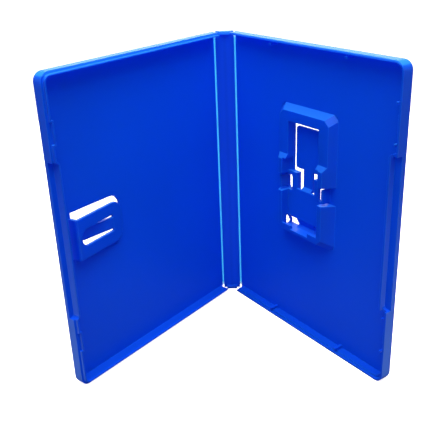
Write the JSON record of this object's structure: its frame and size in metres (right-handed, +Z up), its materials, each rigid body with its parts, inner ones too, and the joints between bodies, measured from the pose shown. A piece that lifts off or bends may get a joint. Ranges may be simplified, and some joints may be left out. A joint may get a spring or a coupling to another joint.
{
  "type": "handheld game case",
  "caption": "Book-style case for a handheld game card in translucent blue plastic, standing open in a V, with a booklet clip, a card holder with a flexible tab, and live hinges.",
  "frame": {"origin": "middle of the spine plate at its bottom end, where the open case stands", "axes": "+Z up along the hinge lines; +Y out of the back of the spine; the covers open towards -Y, the front cover on -X and the rear cover on +X"},
  "size_m": [0.1345, 0.0868, 0.135],
  "materials": {
    "case_blue": "fine satin",
    "web_blue": "thin and translucent",
    "clear_film": "clear and glossy"
  },
  "bodies": {
    "spine_body": {"spine": "case_blue", "front_hinge_web": "web_blue", "rear_hinge_web": "web_blue", "sleeve_spine": "clear_film"},
    "front_body": {"front_cover": "case_blue", "sleeve_front": "clear_film"},
    "rear_body": {"rear_cover": "case_blue", "sleeve_rear": "clear_film"}
  },
  "joints": [
    {"name": "front_hinge", "type": "hinge", "parent": "spine_body", "child": "front_body", "pos_m": [-0.0047, 0.0004, 0.0675], "axis": [0, 0, 1], "range_deg": [-53.5, 36.5], "deforming": ["front_hinge_web"]},
    {"name": "rear_hinge", "type": "hinge", "parent": "spine_body", "child": "rear_body", "pos_m": [0.0047, 0.0004, 0.0675], "axis": [0, 0, 1], "range_deg": [-37.3, 52.7], "deforming": ["rear_hinge_web"]}
  ]
}
